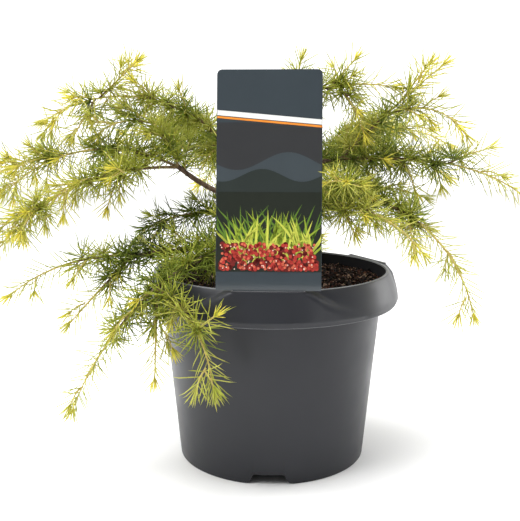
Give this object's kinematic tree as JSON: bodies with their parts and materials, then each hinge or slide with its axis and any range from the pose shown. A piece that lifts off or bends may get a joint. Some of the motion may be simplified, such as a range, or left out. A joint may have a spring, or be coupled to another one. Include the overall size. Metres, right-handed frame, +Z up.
{
  "type": "deodar cedar tree in a nursery pot",
  "caption": "Young weeping deodar cedar with needled boughs round a slim trunk, standing in a round nursery pot with a label in its rim.",
  "frame": {"origin": "centre of the pot's flat underside", "axes": "+Z up along the pot's axis; -Y towards the side that carries the label; +X to the right as seen from that side"},
  "size_m": [0.521, 0.3656, 0.375],
  "materials": {
    "pot_plastic": "dark anthracite moulded plastic, satin",
    "label_card": "thin printed plastic card, smooth",
    "potting_soil": "coarse dark bark and peat compost",
    "bark": "grey-brown bark, orange-tan on the young shoots",
    "needles": "golden to mid green needles, waxy"
  },
  "bodies": {
    "root": {"pot": "pot_plastic", "label": "label_card", "soil": "potting_soil", "trunk": "bark", "bough_left": "bark", "bough_left_high": "bark", "bough_left_low": "bark", "bough_left_under": "bark", "bough_front_left": "bark", "bough_right": "bark", "bough_right_top": "bark", "bough_right_low": "bark", "bough_right_front": "bark", "bough_back_left": "bark", "bough_back": "bark", "bough_back_fall": "bark", "bough_back_right": "bark", "foliage_left_droop": "needles", "foliage_left_out": "needles", "foliage_left_green": "needles", "foliage_left_crown": "needles", "foliage_left_shade": "needles", "foliage_left_tail": "needles", "foliage_left_tail_low": "needles", "foliage_front_left_out": "needles", "foliage_front_left_drop": "needles", "foliage_front_left_in": "needles", "foliage_right_long": "needles", "foliage_right_up": "needles", "foliage_right_top": "needles", "foliage_right_dense": "needles", "foliage_right_tail": "needles", "foliage_right_near": "needles", "foliage_right_front": "needles", "foliage_leader": "needles", "foliage_crown_left": "needles", "foliage_crown_back": "needles", "foliage_front_short": "needles", "foliage_back_left_high": "needles", "foliage_back_left_low": "needles", "foliage_back": "needles", "foliage_back_fall_left": "needles", "foliage_back_fall_right": "needles", "foliage_back_right_high": "needles", "foliage_back_right_low": "needles", "foliage_back_mid": "needles", "foliage_left_back": "needles", "foliage_right_back": "needles"}
  },
  "joints": []
}
